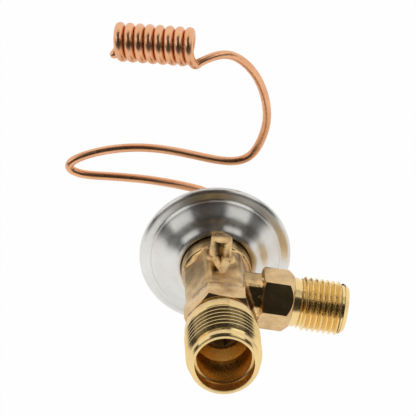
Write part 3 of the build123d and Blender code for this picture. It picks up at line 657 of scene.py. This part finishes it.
rubber_place = rubber.node_tree.nodes.new("ShaderNodeTexCoord")
rubber_grain = rubber.node_tree.nodes.new("ShaderNodeTexNoise")
rubber_grain.inputs["Scale"].default_value = 2500
rubber_shade = rubber.node_tree.nodes.new("ShaderNodeValToRGB")
rubber_shade.color_ramp.elements[0].color = (0.012, 0.012, 0.013, 1)
rubber_shade.color_ramp.elements[1].color = (0.035, 0.035, 0.036, 1)
rubber.node_tree.links.new(rubber_place.outputs["Object"], rubber_grain.inputs["Vector"])
rubber.node_tree.links.new(rubber_grain.outputs["Fac"], rubber_shade.inputs["Fac"])
rubber.node_tree.links.new(rubber_shade.outputs["Color"], rubber_surface.inputs["Base Color"])
rubber_surface.inputs["Roughness"].default_value = 0.6
bump(rubber.node_tree, rubber_surface, rubber_grain.outputs["Fac"], 0.2, 0.00003)
finishes = {
    "adjusting_nut": brass, "ball_carrier": brass, "strainer_ring": brass, "strainer_cap": brass,
    "strainer_mesh": gauze, "valve_seat": hard_steel, "valve_ball": hard_steel,
    "push_rod_1": hard_steel, "push_rod_2": hard_steel, "push_rod_3": hard_steel,
    "superheat_spring": hard_steel, "diaphragm_pad": stainless, "diaphragm": stainless,
    "head_o_ring": rubber, "capillary_ferrule": brass,
}
for name, finish in finishes.items():
    for slot_of in nodes[name].material_slots:
        slot_of.material = finish


# The capillary is thin copper tube, brazed into the ferrule and bent by hand: it leaves under
# the capsule, doubles back round a tight hairpin, sweeps round and climbs to the bulb.
copper, copper_tree, copper_surface = metal(
    "drawn_copper", clean=(0.88, 0.47, 0.26), dull=(0.60, 0.26, 0.11), low=0.26, high=0.36,
    cloud_scale=80.0, amount=0.6,
)
drawn_place = copper_tree.nodes.new("ShaderNodeTexCoord")
draw_marks = copper_tree.nodes.new("ShaderNodeTexNoise")
draw_marks.inputs["Scale"].default_value = 1400
draw_marks.inputs["Detail"].default_value = 3
copper_tree.links.new(drawn_place.outputs["Object"], draw_marks.inputs["Vector"])
bump(copper_tree, copper_surface, draw_marks.outputs["Fac"], 0.05, 0.00004)


def tube(name, points, radius, radii=None, resolution=10):
    """Round tube along a smooth line through points in millimetres, its ends capped."""
    data = bpy.data.curves.new(name, "CURVE")
    data.dimensions = "3D"
    data.bevel_depth = radius * mm
    data.bevel_resolution = 6
    data.resolution_u = resolution
    data.use_fill_caps = True
    spline = data.splines.new("NURBS")
    spline.points.add(len(points) - 1)
    for index, point in enumerate(points):
        spline.points[index].co = (*(Vector(point) * mm), 1)
        spline.points[index].radius = 1 if radii is None else radii[index]
    spline.order_u = 4
    spline.use_endpoint_u = True
    piece = bpy.data.objects.new(name, data)
    scene.collection.objects.link(piece)
    return piece


FLOOR_LINE = -76.3
on_floor = [
    (-0.2, 2.2), (-0.9, 6.5), (-1.9, 12.9), (-5.5, 14.8), (-15.5, 15.5), (-25, 15.6), (-36, 14.6),
    (-42.5, 13.9), (-46.8, 15.0), (-47.2, 17.3), (-44.2, 19.9), (-37.5, 23.4), (-27, 26.3),
    (-16, 26.5), (-5, 25.4), (2.0, 25.6), (6.6, 28.6), (8.3, 35.5),
]
capillary_line = [(0, 0, -69.9), (0, 0, -73.4), (0, 0.2, -75.6)]
capillary_line += [(x, y, FLOOR_LINE) for x, y in on_floor]
capillary_line += [
    (8.5, 42, -76.0), (6.0, 50.2, -74.6), (1.3, 58.2, -72.6), (-5.2, 63.9, -69.8),
    (-10.5, 65.2, -67.6), (-14.6, 63.6, -65.6), (-16.9, 62.3, -64.6),
]
capillary = tube("capillary", capillary_line, 1.27)
capillary.data.materials.append(copper)
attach(capillary, "valve")
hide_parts("capillary_tube")


# The sensing bulb is copper tube, wound into eight close turns round a mandrel. Its far end is
# pinched flat and sealed, and the near end is kinked sharply into the capillary.
BULB_TURNS = 7.88
BULB_PITCH = 3.0
BULB_WIRE_RADIUS = 1.46
BULB_COIL_RADIUS = 4.5
rise, heading = radians(15.0), radians(12.6)
bulb_axis = Vector((cos(rise) * cos(heading), cos(rise) * sin(heading), sin(rise)))
bulb_side = bulb_axis.cross(Vector((0, 0, 1))).normalized()
bulb_down = bulb_axis.cross(bulb_side)
bulb_start = Vector((-41.3, 61.6, -71.92))
per_turn = 16
bulb_line = []
for step in range(int(BULB_TURNS * per_turn) + 1):
    angle = radians(15.4) + 2 * pi * step / per_turn
    outward = bulb_side * cos(angle) + bulb_down * sin(angle)
    along = bulb_axis * (BULB_PITCH * step / per_turn)
    bulb_line.append(bulb_start + along + outward * BULB_COIL_RADIUS)
winding = (bulb_line[1] - bulb_line[0]).normalized()
nose = bulb_line[0] - winding * 0.9 - bulb_axis * 0.9
tip = nose - winding * 0.5 - bulb_axis * 0.5
kink = Vector((-17.8, 61.6, -64.1))
toward = (Vector((-14.6, 63.6, -65.6)) - kink).normalized()
bulb_line = [tip, nose] + bulb_line + [kink, kink + toward * 0.6, kink + toward * 1.5]
bulb_radii = [0.5, 0.95] + [1.0] * (len(bulb_line) - 5) + [0.95, 0.9, 0.87]
bulb = tube("sensing_coil", bulb_line, BULB_WIRE_RADIUS, bulb_radii, 4)
bulb.data.materials.append(copper)
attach(bulb, "valve")
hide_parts("sensing_bulb")
